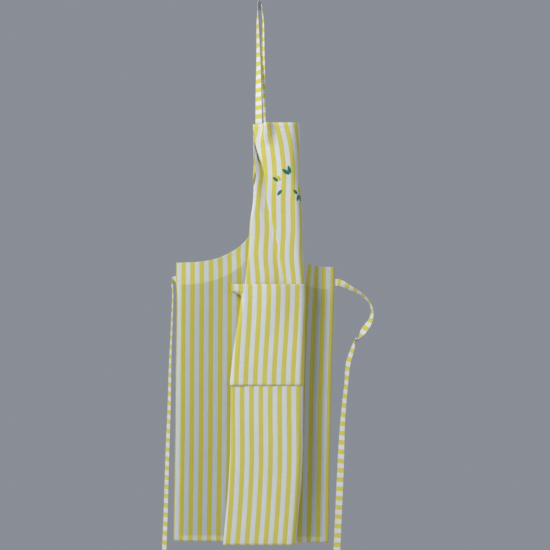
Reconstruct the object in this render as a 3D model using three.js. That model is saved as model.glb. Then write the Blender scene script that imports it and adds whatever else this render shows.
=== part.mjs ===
// Bib apron of striped cotton hanging folded by its neck strap from a wall peg, one waist tie laid over a
// second peg. Millimetres, +Z up, X to the right, Y into the wall; the wall's face is y = 0 and the origin is
// where the main peg's axis meets it.
import * as THREE from "three";

// ---- driving dimensions ----
const CLOTH = 0.8; // thickness of one layer of cloth
const LAYER_GAP = 0.3; // air kept between layers sewn together
const LAYER = CLOTH + LAYER_GAP;

const APRON_HALF = 350; // half the apron's width at the hem
const BIB_HALF = 145; // half the bib's width at its top
const APRON_LENGTH = 900; // hem to bib top
const SIDE_LENGTH = 595; // hem to the corner where the tie is sewn
const BIB_DROP = 256.3; // peg axis to the bib's top edge
const HEM_DROP = APRON_LENGTH + BIB_DROP; // peg axis to the hem of the folded column

const HEM = 11; // turned hem at the bib top and the bottom
const SIDE_HEM = 12;
const FACING = 48; // armhole facing at the waist
const FACING_TOP = 9; // armhole facing at the bib top
const CORNER_GAP = 1; // between strips that meet at a corner
const CUT_BACK = 0.6; // how far inside the cloth's edge a strip stops

const POCKET_HALF = 165;
const POCKET_BOTTOM = 340; // above the hem
const POCKET_TOP = 556;
const POCKET_HEM = 28;
const POCKET_GAPE = 7.5; // how far the pocket's mouth stands off

const STRAP = 15; // width of the neck strap and of both ties
const TAPE = 1.2; // their thickness: the cloth folded over
const STRAP_SEWN = 30; // length of strap sewn behind the bib
const TIE_LENGTH = 800;
const TIE_SEWN = 14;
const TIE_BELOW = 37; // the tie's middle below the corner of the side
const TIE_DROP = HEM_DROP - SIDE_LENGTH + TIE_BELOW; // peg axis to the ties' seams

const PEG_D = 6.4;
const PEG_LENGTH = 44;
const COLLAR_D = 12;
const COLLAR_H = 2.5;
const RECESS_D = 3.6;
const RECESS_DEPTH = 2;
const THREAD_D = 4;
const THREAD_LENGTH = 28;
const PEG_EDGE = 0.8; // rounding of the peg's outer end
const PLUG_D = 8;
const PLUG_LENGTH = 31;
const PLUG_SET = 2.2; // how far the plug's mouth lies below the wall's face
const FIT = 0.3; // radial gap between parts that fit in each other
const STRAP_AT = 28; // distance of the strap's middle from the wall
const SIDE_PEG_X = 208.2;
const SIDE_PEG_BELOW = 122.9; // the second peg's axis below the ties' seams
const SIDE_PEG_DROP = TIE_DROP + SIDE_PEG_BELOW;

// Folds: radius of the front column's right-hand roll, front and back, and of the three sharp folds.
const ROLL_BACK = 11;
const FOLD_1 = 4.5; // left edge of the column
const FOLD_2 = 3.5; // behind it, where the left flap starts
const FOLD_3 = 5; // behind the column, where the right flap starts

// How the column is folded, up the cloth: [height above the hem, value].
const LEFT_FOLD_U = [
  [0, -166], [340, -160], [560, -163], [615, -154], [680, -153], [719, -147], [760, -149], [790, -156],
  [830, -154], [900, -150],
];
const LEFT_FOLD_X = [
  [0, -78.4], [87, -75.4], [202, -70], [309, -64.3], [407, -54.4], [479, -43.6], [560, -31.4], [615, -25.8],
  [692, -20.3], [730, -14], [790, -14.2], [849, -15.6], [900, -17],
];
const RIGHT_ROLL_U = [
  [0, -2.4], [170, 1], [340, 4], [560, -3], [615, -1], [670, -4.6], [735, -5], [790, -10], [850, -2], [900, 11],
];
const RIGHT_ROLL_X = [
  [0, 76], [80, 83.9], [170, 90.3], [340, 93.5], [555, 95.6], [610, 92.8], [740, 88.2], [785, 84.2], [900, 85],
];
const LEFT_HEM_X = [
  [0, -185.5], [200, -182.3], [400, -181], [575, -179.8], [900, -180],
];
const RIGHT_HEM_X = [
  [0, 148], [117, 150], [256, 152.4], [350, 154.2], [460, 157.4], [600, 160.5], [900, 150],
];
const ROLL_FRONT = [
  [0, 12], [560, 12], [720, 16], [900, 24],
];
const TUCK_U = [
  [0, -60], [560, -60], [615, -65], [670, -79], [719, -92], [790, -104], [840, -115], [900, -128],
];
const COLUMN_Y = [
  [0, -30], [340, -34], [560, -36], [720, -38], [900, -52],
]; // depth of the roll's outermost line
const TUCK_FIXED = 740; // above this height the tuck keeps its depth and the bib's waves take up the cloth
const BIB_EDGE = -100; // the bib runs straight back towards the wall from here to its left edge
const BIB_WAVE = 7.6; // length of the bib's soft fold, divided by 2 pi
const RIPPLE_3 = [
  [0, 0.25], [340, 0.35], [520, 0.6], [600, 0.9], [900, 0.9],
]; // swing of the right flap's ripple, radians

// ---- small tools ----
// Smooth curve through a list of [position, value], held beyond its ends.
function along(stations, p) {
  const n = stations.length;
  if (p <= stations[0][0]) return stations[0][1];
  if (p >= stations[n - 1][0]) return stations[n - 1][1];
  let i = 0;
  while (stations[i + 1][0] < p) i += 1;
  const slope = (a, b) => (stations[b][1] - stations[a][1]) / (stations[b][0] - stations[a][0]);
  const here = slope(i, i + 1);
  const tangent = (j) => (j === 0 || j === n - 1 ? here : (slope(j - 1, j) + slope(j, j + 1)) / 2);
  const width = stations[i + 1][0] - stations[i][0];
  const t = (p - stations[i][0]) / width;
  const a = stations[i][1];
  const b = stations[i + 1][1];
  const ta = tangent(i) * width;
  const tb = tangent(i + 1) * width;
  return a + t * (ta + t * (3 * (b - a) - 2 * ta - tb + t * (2 * (a - b) + ta + tb)));
}
const { clamp, degToRad } = THREE.MathUtils;
function smooth(a, b, p) {
  const t = clamp((p - a) / (b - a), 0, 1);
  return t * t * (3 - 2 * t);
}
function solve(low, high, f) {
  let a = low;
  let b = high;
  for (let k = 0; k < 30; k += 1) {
    const m = (a + b) / 2;
    if (f(m)) a = m;
    else b = m;
  }
  return (a + b) / 2;
}
function bump(p, centre, half) {
  const off = Math.abs(p - centre) / half;
  return off < 1 ? Math.cos((off * Math.PI) / 2) ** 2 : 0;
}

// ---- the folded sheet ----
// A walk along one horizontal row of the cloth: heading(s) is the direction at distance s, and the result is the
// list of [x, y, heading] at every STEP.
const STEP = 0.5;
function walk(x, y, length, heading) {
  const track = [];
  let px = x;
  let py = y;
  for (let s = 0; s <= length + STEP; s += STEP) {
    const h = heading(s);
    track.push([px, py, h]);
    const m = heading(s + STEP / 2);
    px += Math.cos(m) * STEP;
    py += Math.sin(m) * STEP;
  }
  return track;
}
function span(length, heading) {
  const end = walk(0, 0, length, heading).at(-2);
  return end[0];
}
const QUARTER = Math.PI / 2;
// The cloth of the pocket follows the same folds without the tuck, so it is made with tucked = false.
const rows = new Map();
function makeRow(v, tucked) {
  const uL = along(LEFT_FOLD_U, v);
  const xL = along(LEFT_FOLD_X, v);
  const uR = along(RIGHT_ROLL_U, v);
  const xR = along(RIGHT_ROLL_X, v);
  const roll = along(ROLL_FRONT, v);
  const tuckU = along(TUCK_U, v);
  const y0 = along(COLUMN_Y, v);
  // Left half: roll, front of the column, fold back, fold out again, flap.
  const s1 = QUARTER * roll;
  const wanted = xR - roll - (xL + FOLD_1);
  const s2 = tucked ? uR - uL - QUARTER * FOLD_1 : s1 + rowAt(v, true).cover;
  const held = v > SIDE_LENGTH ? rowAt(SIDE_LENGTH, true) : null;
  const steady = v > TUCK_FIXED ? rowAt(TUCK_FIXED, true) : null;
  const fade = 1 - smooth(850, 895, v);
  // groove: the tuck's steep and shallow sides; wave: the soft folds that take up the bib's width.
  const front = (s, groove, rise, wave) => {
    const u = uR - s;
    const pleat = groove * bump(u, tuckU + 8, 11) - rise * bump(u, tuckU - 10, 16);
    const edge = smooth(BIB_EDGE, BIB_EDGE - 12, u);
    const soft = smooth(-50, -60, u) * (1 - edge) * (0.3 * lean + wave * Math.sin((u + 55) / BIB_WAVE));
    return -2 * QUARTER - pleat - soft - edge * 0.87 * lean;
  };
  const lean = smooth(700, 870, v);
  const end = (groove, rise, wave) => walk(0, 0, s2 - s1, (s) => front(s + s1, groove, rise, wave)).at(-2);
  const balance = (groove) => solve(0, 2, (k) => end(groove, k, 0)[1] > 0);
  let groove = 0;
  let rise = 0;
  let wave = 0;
  if (steady) {
    groove = steady.groove * fade;
    rise = steady.rise * fade;
    wave = solve(0, 1.5, (k) => -end(groove, rise, k)[0] > wanted);
  } else if (tucked) {
    groove = solve(0, 2.1, (k) => -end(k, balance(k), 0)[0] > wanted);
    rise = balance(groove);
  }
  const swing = (s, start, length, from, to) => from + (to - from) * clamp((s - start) / length, 0, 1);
  const s3 = s2 + 2 * QUARTER * FOLD_1;
  const leftLength = APRON_HALF + uR + 2;
  const flapDrift = 0.17;
  const turned = tucked ? 1 : 1 - smooth(484, 528, v);
  const leftHeading = (back) => (s) => {
    const s4 = s3 + back;
    const s5 = s4 + 2 * QUARTER * FOLD_2;
    if (s < s1) return swing(s, 0, s1, -QUARTER, -2 * QUARTER);
    if (s < s2) return front(s, groove, rise, wave);
    if (s < s3) return swing(s, s2, s3 - s2, -2 * QUARTER, -(2 + 2 * turned) * QUARTER);
    if (s < s4) return -(2 + 2 * turned) * QUARTER;
    if (s < s5) return swing(s, s4, s5 - s4, -4 * QUARTER, -2 * QUARTER);
    return -2 * QUARTER - flapDrift * smooth(s5, s5 + 30, s) * (1 + Math.cos((s - s5) / 24)) * 0.75;
  };
  const hemL = along(LEFT_HEM_X, v);
  const total = APRON_HALF + uR;
  const back = held ? held.back : solve(1, 60, (k) => xR + span(total, leftHeading(k)) < hemL);
  const left = walk(xR, y0, leftLength, leftHeading(back));
  const cover = -end(groove, rise, wave)[0];
  // Right half: roll to the back, run behind the column, fold, flap out to the right.
  const t1 = QUARTER * ROLL_BACK;
  const ripple = along(RIPPLE_3, v);
  const gather = smooth(600, 800, v);
  const rightLength = APRON_HALF - uR + 2;
  const rightHeading = (run) => (s) => {
    const t2 = t1 + run;
    const t3 = t2 + 2 * QUARTER * FOLD_3;
    if (s < t1) return swing(s, 0, t1, QUARTER, 2 * QUARTER);
    const soft = 1.25 * gather * smooth(108, 100, uR + s) * Math.sin((s - t1) / 6.1);
    if (s < t2) return 2 * QUARTER + soft - 0.05 - 0.3 * gather;
    if (s < t3) return swing(s, t2, t3 - t2, 2 * QUARTER, 0);
    const u = uR + s;
    const wave = ripple * (bump(u, 296, 22) - bump(u, 318, 22)) + 0.3 * ripple * Math.sin((u - 250) / 11) * bump(u, 250, 45);
    return wave + 0.02 * smooth(t3, t3 + 60, s);
  };
  const hemR = along(RIGHT_HEM_X, v);
  const run = held ? held.run : solve(40, 200, (k) => xR + span(APRON_HALF - uR, rightHeading(k)) > hemR);
  const right = walk(xR, y0, rightLength, rightHeading(run));
  return { uR, left, right, back, run, cover, groove, rise };
}
function rowAt(v, tucked) {
  const key = `${Math.round(v * 4) / 4} ${tucked}`;
  if (!rows.has(key)) rows.set(key, makeRow(Math.round(v * 4) / 4, tucked));
  return rows.get(key);
}
// Where the point (u across, v up the cloth) is, n in front of the cloth's middle.
function place(u, v, n, tucked = true) {
  const row = rowAt(v, tucked);
  const s = u < row.uR ? row.uR - u : u - row.uR;
  const track = u < row.uR ? row.left : row.right;
  const k = Math.min(track.length - 2, Math.floor(s / STEP));
  const f = s / STEP - k;
  const a = track[k];
  const b = track[k + 1];
  const x = a[0] + (b[0] - a[0]) * f;
  const y = a[1] + (b[1] - a[1]) * f;
  const turn = u < row.uR ? 2 * QUARTER : 0;
  const h = a[2] + (b[2] - a[2]) * f + turn;
  // The front face is on the right-hand side of someone walking towards +u, so that it looks to -Y at the front.
  const lift = 7 * smooth(-185, -240, u) - 2.5 * smooth(185, 240, u);
  return new THREE.Vector3(x + Math.sin(h) * n, y - Math.cos(h) * n, v - HEM_DROP + lift);
}

// ---- pieces of cloth ----
const group = new THREE.Group();
function add(name, geometry, colour, roughness, metalness) {
  const mesh = new THREE.Mesh(geometry, new THREE.MeshStandardMaterial({ color: colour, roughness, metalness }));
  mesh.name = name;
  group.add(mesh);
}
const YELLOW = 0xe9df7a;
const CLOTH_ROUGHNESS = 0.9;
const LEAF_GREEN = 0x1f8f6b;
const LEAF_YELLOW = 0xd8cc22;
const addCloth = (name, geometry) => add(name, geometry, YELLOW, CLOTH_ROUGHNESS, 0);

// A thin sheet on a grid of cols x rows cells: at(i, j) gives the middle of its thickness and the unit normal.
function sheet(cols, cellRows, at, thickness) {
  const g = new THREE.BoxGeometry(1, 1, 1, cols, cellRows, 1);
  const p = g.attributes.position;
  for (let k = 0; k < p.count; k += 1) {
    const i = Math.round((p.getX(k) + 0.5) * cols);
    const j = Math.round((p.getY(k) + 0.5) * cellRows);
    const { middle, normal } = at(i, j);
    const out = middle.clone().addScaledVector(normal, p.getZ(k) * thickness);
    p.setXYZ(k, out.x, out.y, out.z);
  }
  // Both large faces are split along the same diagonal, so that stacked sheets never cross.
  const back = g.groups[5];
  const index = g.index.array;
  for (let k = back.start; k < back.start + back.count; k += 6) {
    const [a, b, d] = [index[k], index[k + 1], index[k + 2]];
    const c = index[k + 4];
    index.set([a, b, c, a, c, d], k);
  }
  g.computeVertexNormals();
  return g;
}
// A sheet that lies on the folded cloth: columns of u, and for each the heights v; n is its distance in front.
function layer(columns, heightsAt, n, thickness, tucked = true) {
  return sheet(columns.length - 1, heightsAt(columns[0]).length - 1, (i, j) => {
    const u = columns[i];
    const v = heightsAt(u)[j];
    const off = n(u, v);
    const middle = place(u, v, off, tucked);
    const normal = place(u, v, off + 1, tucked).sub(middle).setZ(0).normalize();
    return { middle, normal };
  }, thickness);
}

// Armhole: from the side corner to the bib's top corner, as (distance from the middle, height).
const armhole = new THREE.CubicBezierCurve(
  new THREE.Vector2(APRON_HALF, SIDE_LENGTH), new THREE.Vector2(235, SIDE_LENGTH + 1),
  new THREE.Vector2(BIB_HALF + 12, SIDE_LENGTH + 6), new THREE.Vector2(BIB_HALF, APRON_LENGTH),
);
const BIB_LINE = BIB_HALF - FACING_TOP;
const SIDE_LINE = APRON_HALF - SIDE_HEM;
const facingEdge = new THREE.CubicBezierCurve(
  new THREE.Vector2(APRON_HALF, SIDE_LENGTH - FACING), new THREE.Vector2(222, SIDE_LENGTH - FACING + 4),
  new THREE.Vector2(BIB_HALF + 1, SIDE_LENGTH - FACING + 30), new THREE.Vector2(BIB_LINE, APRON_LENGTH - HEM),
);
const heightOn = (curve, u) => curve.getPoint(solve(0, 1, (t) => curve.getPoint(t).x > Math.abs(u))).y;
const topOf = (u) => (Math.abs(u) <= BIB_HALF ? APRON_LENGTH : heightOn(armhole, u));
const facingLow = (u) => (Math.abs(u) < BIB_LINE ? APRON_LENGTH - HEM : heightOn(facingEdge, u));

const spaced = (first, last, count) => Array.from({ length: count }, (_, k) => first + ((last - first) * k) / count);
const columns = [
  -APRON_HALF, -SIDE_LINE, ...spaced(-315, -215, 4), ...spaced(-215, -POCKET_HALF, 10),
  ...spaced(-POCKET_HALF, -BIB_HALF, 4), ...spaced(-BIB_HALF, -BIB_LINE, 2), ...spaced(-BIB_LINE, -40, 17),
  ...spaced(-40, 28, 13), ...spaced(28, BIB_LINE, 15), ...spaced(BIB_LINE, BIB_HALF, 2),
  ...spaced(BIB_HALF, POCKET_HALF, 4), ...spaced(POCKET_HALF, 180, 3), ...spaced(180, 250, 4),
  ...spaced(250, SIDE_LINE, 11), SIDE_LINE, APRON_HALF,
];
const HEM_ROW = POCKET_TOP - POCKET_HEM; // stitch line of the pocket's hem
const lowRows = [0, HEM, POCKET_BOTTOM / 3, (2 * POCKET_BOTTOM) / 3, POCKET_BOTTOM, 412, 484];
const START = lowRows.at(-1);
const sideScale = (u) => (facingLow(u) - START) / (facingLow(POCKET_HALF) - START);
const heightLists = new Map();
function heights(u) {
  if (heightLists.has(u)) return heightLists.get(u);
  const low = facingLow(u);
  const scale = Math.abs(u) > POCKET_HALF ? sideScale(u) : 1;
  const hemLine = START + (HEM_ROW - START) * scale;
  const pocketLine = START + (POCKET_TOP - START) * scale;
  const list = [...lowRows, hemLine, ...spaced(pocketLine, low, 7), low, (low + topOf(u)) / 2, topOf(u)];
  heightLists.set(u, list);
  return list;
}
const columnsBetween = (a, b) => columns.filter((u) => u >= a - 1e-6 && u <= b + 1e-6);

addCloth("apron_panel", layer(columns, heights, () => 0, CLOTH));

// Strips turned or sewn to the back of the cloth.
const behind = () => -LAYER;
function pulledIn(list, below, above) {
  const out = [...list];
  out[0] += below;
  out[out.length - 1] -= above;
  return out;
}
const facingHeights = (u) => pulledIn(heights(u).slice(-3), 0, CUT_BACK);
addCloth("left_armhole_facing", layer(columnsBetween(-APRON_HALF, -BIB_LINE - 1), facingHeights, behind, CLOTH));
addCloth("right_armhole_facing", layer(columnsBetween(BIB_LINE + 1, APRON_HALF), facingHeights, behind, CLOTH));
addCloth("bib_top_hem", layer(columnsBetween(-BIB_LINE, BIB_LINE), facingHeights, behind, CLOTH));
const hemHeights = (u) => pulledIn(heights(u).slice(0, 2), CUT_BACK, 0);
addCloth("bottom_hem", layer(columnsBetween(-APRON_HALF, APRON_HALF), hemHeights, behind, CLOTH));
const sideHeights = (u) => pulledIn(heights(u).slice(1, -2), CORNER_GAP, CORNER_GAP);
addCloth("left_side_hem", layer(columnsBetween(-APRON_HALF, -SIDE_LINE), sideHeights, behind, CLOTH));
addCloth("right_side_hem", layer(columnsBetween(SIDE_LINE, APRON_HALF), sideHeights, behind, CLOTH));

// The pocket wraps round both edges of the column; its mouth stands off and carries its own hem inside.
const GAPE_AT = -75; // where across the pocket its mouth stands off most
const GAPE_HALF = 62;
const mouth = (u, v) => POCKET_GAPE * bump(u, GAPE_AT, GAPE_HALF) * smooth(POCKET_TOP - 126, POCKET_TOP - 12, v);
const POCKET_EASE = 1.2; // extra room where the pocket turns round the column's left edge
const ease = (u) => POCKET_EASE * smooth(-118, -138, u);
const pocketOff = (u, v) => LAYER + LAYER * smooth(START, HEM_ROW, v) + mouth(u, v) + ease(u);
const pocketColumns = columnsBetween(-POCKET_HALF, POCKET_HALF);
const EAR_FROM = 0.62; // where, between two rows, the pocket's left edge starts to stand out
const pocketRows = [...lowRows.slice(4), START + EAR_FROM * (HEM_ROW - START), HEM_ROW, POCKET_TOP];
const pocketHemRows = [HEM_ROW, POCKET_TOP - CUT_BACK];
const insidePocket = (u, v) => pocketOff(u, v) - LAYER;
addCloth("pocket", layer(pocketColumns, () => pocketRows, pocketOff, CLOTH, false));
addCloth("pocket_top_hem", layer(pocketColumns, () => pocketHemRows, insidePocket, CLOTH, false));

// ---- tapes: the neck strap and the ties ----
// stations: [centre, direction of the width]; the tape runs smoothly through them.
function tape(stations, perSpan) {
  const path = new THREE.CatmullRomCurve3(stations.map((s) => s[0]), false, "centripetal");
  const sides = new THREE.CatmullRomCurve3(stations.map((s) => s[1]), false, "centripetal");
  const cells = (stations.length - 1) * perSpan;
  const at = (i, j) => {
    const t = j / cells;
    const tangent = path.getTangent(t);
    const side = sides.getPoint(t);
    side.addScaledVector(tangent, -side.dot(tangent)).normalize();
    const normal = side.clone().cross(tangent);
    return { middle: path.getPoint(t).addScaledVector(side, (i / 2 - 0.5) * STRAP), normal };
  };
  return sheet(2, cells, at, TAPE);
}
const V = (x, y, z) => new THREE.Vector3(x, y, z);
const TAPE_AIR = 1; // the tape is flat and the cloth in front of it is bent
const TAPE_OFF = -(LAYER + CLOTH / 2 + TAPE_AIR + TAPE / 2); // behind the hem or the facing
const ALONG_PEG = V(0, -1, 0);
const LOOP_R = PEG_D / 2 + FIT + TAPE / 2;
const LOOP_DROP = 9; // length of the bight's straight ends below the peg's axis
const LOOP_GAP = 2.6; // between the bight and each strand, so that the strand can swing out

const bight = [[V(-LOOP_R, -STRAP_AT, -LOOP_DROP), ALONG_PEG]];
for (let k = 0; k <= 6; k += 1) {
  const a = Math.PI - (Math.PI * k) / 6;
  bight.push([V(LOOP_R * Math.cos(a), -STRAP_AT, LOOP_R * Math.sin(a)), ALONG_PEG]);
}
bight.push([V(LOOP_R, -STRAP_AT, -LOOP_DROP), ALONG_PEG]);
addCloth("neck_strap_bight", tape(bight, 2));

const STRAP_INSET = 25;
const STRAP_U = BIB_HALF - STRAP_INSET; // where each strand is sewn
const sewnAt = (u, v) => {
  const across = place(u - 5, v, TAPE_OFF).sub(place(u + 5, v, TAPE_OFF)).normalize();
  return [place(u, v, TAPE_OFF), across];
};
function strand(side, bends) {
  const u = side * STRAP_U;
  const end = (v) => {
    const [p, across] = sewnAt(u, v);
    return [p, across.dot(ALONG_PEG) < 0 ? across.negate() : across];
  };
  const top = [V(side * LOOP_R, -STRAP_AT, -LOOP_DROP - LOOP_GAP), ALONG_PEG];
  const down = APRON_LENGTH - STRAP_SEWN;
  return [top, ...bends, end(APRON_LENGTH), end(APRON_LENGTH - STRAP_SEWN / 2), end(down)];
}
addCloth("neck_strap_left", tape(strand(-1, [
  [V(-4.5, -STRAP_AT, -36.5), V(0.28, -0.96, 0)], [V(-3.2, -STRAP_AT, -122), V(0.6, -0.8, 0)],
]), 4));
addCloth("neck_strap_right", tape(strand(1, [
  [V(6.6, -STRAP_AT, -36.5), V(0.28, -0.96, 0)], [V(7.3, -STRAP_AT, -122), V(0.5, -0.87, 0)],
]), 4));

// Ties: sewn behind the facing at the side corners. The left one falls straight down, the right one is laid over
// the second peg. Each is cut to its full length: stations beyond it are shortened.
const tieHeight = SIDE_LENGTH - TIE_BELOW;
function tieStations(side, bends) {
  const inner = side * (APRON_HALF - TIE_SEWN);
  const outer = side * (APRON_HALF - CUT_BACK);
  const sewn = [inner, outer].map((u) => [place(u, tieHeight, TAPE_OFF), V(0, 0, 1)]);
  const clear = sewn[1][0].clone().add(V(side * 4, 0, 0));
  const stations = [...sewn, [clear, V(0, 0, 1)], ...bends];
  const path = new THREE.CatmullRomCurve3(stations.map((s) => s[0]), false, "centripetal");
  const [a, b] = stations.slice(-2).map((s) => s[0]);
  const spare = TIE_LENGTH - path.getLength();
  const last = b.clone().addScaledVector(b.clone().sub(a).normalize(), spare);
  stations[stations.length - 1] = [last, stations.at(-1)[1]];
  return stations;
}
const angled = (degrees) => {
  const a = degToRad(degrees);
  return V(Math.cos(a), -Math.sin(a), 0);
};
const TIE_CUT = 4; // stations of the left tie that belong to its sewn end
const TIE_GAP = 1.5; // between the sewn end and the hanging part, where the tie swings
const below = (x, y, drop) => V(x, y, -TIE_DROP - drop); // drop is measured from the ties' seams
const leftTie = tieStations(-1, [
  [below(-188.5, -13, 0.7), V(0.2, -0.8, 0.5)], [below(-187.5, -15, 15.7), angled(78)],
  [below(-190.2, -17, 121.7), angled(72)], [below(-192.6, -16, 181.7), angled(66)],
  [below(-196.2, -15, 345.7), angled(60)], [below(-203, -13, 558.7), angled(47)],
]);
const [cutAt, cutWidth] = leftTie[TIE_CUT];
const sewnEnd = [...leftTie.slice(0, TIE_CUT), [cutAt.clone().add(V(0, 0, TIE_GAP)), cutWidth]];
addCloth("left_tie_sewn_end", tape(sewnEnd, 3));
addCloth("left_tie", tape(leftTie.slice(TIE_CUT), 3));
const PEG_TOP = PEG_D / 2 + FIT + TAPE; // the tie's middle above the second peg's axis
const overPeg = (degrees) => {
  const a = degToRad(degrees);
  return V(SIDE_PEG_X + PEG_TOP * Math.cos(a), -STRAP_AT, -SIDE_PEG_DROP + PEG_TOP * Math.sin(a));
};
const rightTie = tieStations(1, [
  [below(171.7, -10, 0.7), V(-0.2, -0.2, 0.95)], [below(197.7, -14, 13.7), V(0.3, -0.8, 0.5)],
  [below(221, -19, 26.7), V(0.2, -0.95, 0.2)], [below(236, -22, 43.7), V(0.2, -0.98, 0)],
  [below(241, -24, 61.7), V(0.3, -0.95, 0)], [below(237, -26, 80.7), V(0.3, -0.95, -0.1)],
  [below(225, -27.5, 98.7), V(0.2, -0.97, -0.2)], [overPeg(58), V(0, -1, 0)],
  [overPeg(92), V(0, -1, 0)], [overPeg(126), V(0, -1, 0)],
  [overPeg(160), V(0, -1, 0)], [below(200, -28, 136.7), V(-0.15, -0.97, 0)],
  [below(189.5, -25, 171.7), V(0, -1, 0)], [below(184.9, -22, 218.7), V(0.2, -0.97, 0)],
  [below(179.1, -18, 283.7), V(0.55, -0.83, 0)], [below(172.3, -16, 426.7), V(0.95, -0.3, 0)],
  [below(166.3, -15, 564.7), V(0.97, -0.2, 0)],
]);
addCloth("right_tie", tape(rightTie, 3));

// ---- pegs and their wall plugs, turned about the Y axis ----
const STEEL = 0xb9bdc2;
const NYLON = 0x9a9c9e;
const turned = (profile) => new THREE.LatheGeometry(profile.map(([r, y]) => new THREE.Vector2(r, y)), 24);
const r = (d) => d / 2;
const pegProfile = [
  [0, THREAD_LENGTH], [r(THREAD_D), THREAD_LENGTH - r(THREAD_D)], [r(THREAD_D), 0], [r(COLLAR_D), 0],
  [r(COLLAR_D), -COLLAR_H], [r(PEG_D), -COLLAR_H], [r(PEG_D), PEG_EDGE - PEG_LENGTH],
  [r(PEG_D) - PEG_EDGE, -PEG_LENGTH], [r(RECESS_D), -PEG_LENGTH], [r(RECESS_D), RECESS_DEPTH - PEG_LENGTH],
  [0, RECESS_DEPTH - PEG_LENGTH],
].reverse();
const bore = r(THREAD_D) + FIT;
const plugProfile = [
  [0, PLUG_LENGTH], [r(PLUG_D) - PEG_EDGE, PLUG_LENGTH], [r(PLUG_D), PLUG_LENGTH - PEG_EDGE], [r(PLUG_D), PLUG_SET],
  [bore, PLUG_SET], [bore, THREAD_LENGTH + FIT], [0, THREAD_LENGTH + FIT],
].reverse();
function peg(prefix, x, z) {
  const at = new THREE.Matrix4().makeTranslation(x, 0, z);
  add(`${prefix}hook_peg`, turned(pegProfile).applyMatrix4(at), STEEL, 0.35, 1);
  add(`${prefix}hook_wall_plug`, turned(plugProfile).applyMatrix4(at), NYLON, 0.6, 0);
}
peg("", 0, 0);
peg("side_", SIDE_PEG_X, -SIDE_PEG_DROP);

// ---- embroidered leaves on the bib ----
// [u, v, turn in degrees, length, colour]
const LEAF_RISE = 0.5; // thickness of the satin stitch
const LEAF_AIR = 1.7; // the leaves are flatter than the cloth below them
const LEAF_OFF = CLOTH / 2 + LEAF_AIR + LEAF_RISE / 2;
const LEAF_WIDE = 0.2; // half its width, as a share of its length
const leaves = [
  [-50, 793, 143, 18, LEAF_GREEN], [-39, 799, 101, 17, LEAF_GREEN], [-72, 778, 143, 15, LEAF_GREEN],
  [-63, 784, 123, 14, LEAF_YELLOW], [-61, 750, 52, 15, LEAF_GREEN], [-28, 751, 138, 14, LEAF_GREEN],
  [-18, 758, 107, 15, LEAF_YELLOW], [-21, 738, 73, 14, LEAF_GREEN], [-11, 739, 102, 14, LEAF_GREEN],
];
function leaf(u, v, degrees, length) {
  const a = degToRad(degrees);
  const cells = 6;
  return sheet(cells, 2, (i, j) => {
    const along1 = (i / cells - 0.5) * length;
    const wide = (0.12 + Math.sin((Math.PI * i) / cells) ** 0.8) * LEAF_WIDE * length * (j - 1);
    const uu = u + along1 * Math.cos(a) - wide * Math.sin(a);
    const vv = v + along1 * Math.sin(a) + wide * Math.cos(a);
    const middle = place(uu, vv, LEAF_OFF);
    return { middle, normal: place(uu, vv, LEAF_OFF + 1).sub(middle).setZ(0).normalize() };
  }, LEAF_RISE);
}
leaves.forEach(([u, v, degrees, length, colour], k) => {
  add(`leaf_${k + 1}`, leaf(u, v, degrees, length), colour, 0.5, 0);
});

export default group;
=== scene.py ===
import math

import bmesh
import bpy
import numpy as np
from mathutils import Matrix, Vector


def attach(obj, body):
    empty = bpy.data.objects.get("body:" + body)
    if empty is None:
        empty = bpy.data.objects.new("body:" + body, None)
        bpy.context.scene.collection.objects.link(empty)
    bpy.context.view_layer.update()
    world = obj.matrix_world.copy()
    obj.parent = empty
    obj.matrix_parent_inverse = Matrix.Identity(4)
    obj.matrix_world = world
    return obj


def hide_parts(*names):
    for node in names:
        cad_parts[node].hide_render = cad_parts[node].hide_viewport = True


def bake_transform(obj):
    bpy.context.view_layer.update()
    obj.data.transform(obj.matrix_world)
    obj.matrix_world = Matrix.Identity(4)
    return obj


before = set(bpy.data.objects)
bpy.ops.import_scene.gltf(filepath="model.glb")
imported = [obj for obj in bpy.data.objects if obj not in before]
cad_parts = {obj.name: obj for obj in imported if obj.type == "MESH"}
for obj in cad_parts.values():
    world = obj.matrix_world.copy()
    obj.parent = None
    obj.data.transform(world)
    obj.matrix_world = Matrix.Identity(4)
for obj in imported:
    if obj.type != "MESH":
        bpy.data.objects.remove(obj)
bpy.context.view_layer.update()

# A bib apron of striped cotton that hangs, folded, by its neck strap from a wall peg. The cloth is one flat
# pattern, walked along its folds: u runs across it from its middle, v up it from its hem, in millimetres.
MM = 0.001
Q = math.pi / 2  # a quarter turn

# ---- camera ----
FRAME_MM = 1174.0  # width that is seen at the apron
VIEW_X, VIEW_Y, VIEW_Z = 32.7, -35.0, -581.0
DISTANCE = 3000.0
SENSOR = 36.0
camera = bpy.data.objects.new("camera", bpy.data.cameras.new("camera"))
camera.data.sensor_width = SENSOR
camera.data.lens = SENSOR * DISTANCE / FRAME_MM
camera.location = (VIEW_X * MM, (VIEW_Y - DISTANCE) * MM, VIEW_Z * MM)
camera.rotation_euler = (Q, 0, 0)
bpy.context.scene.collection.objects.link(camera)
bpy.context.scene.camera = camera

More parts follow.
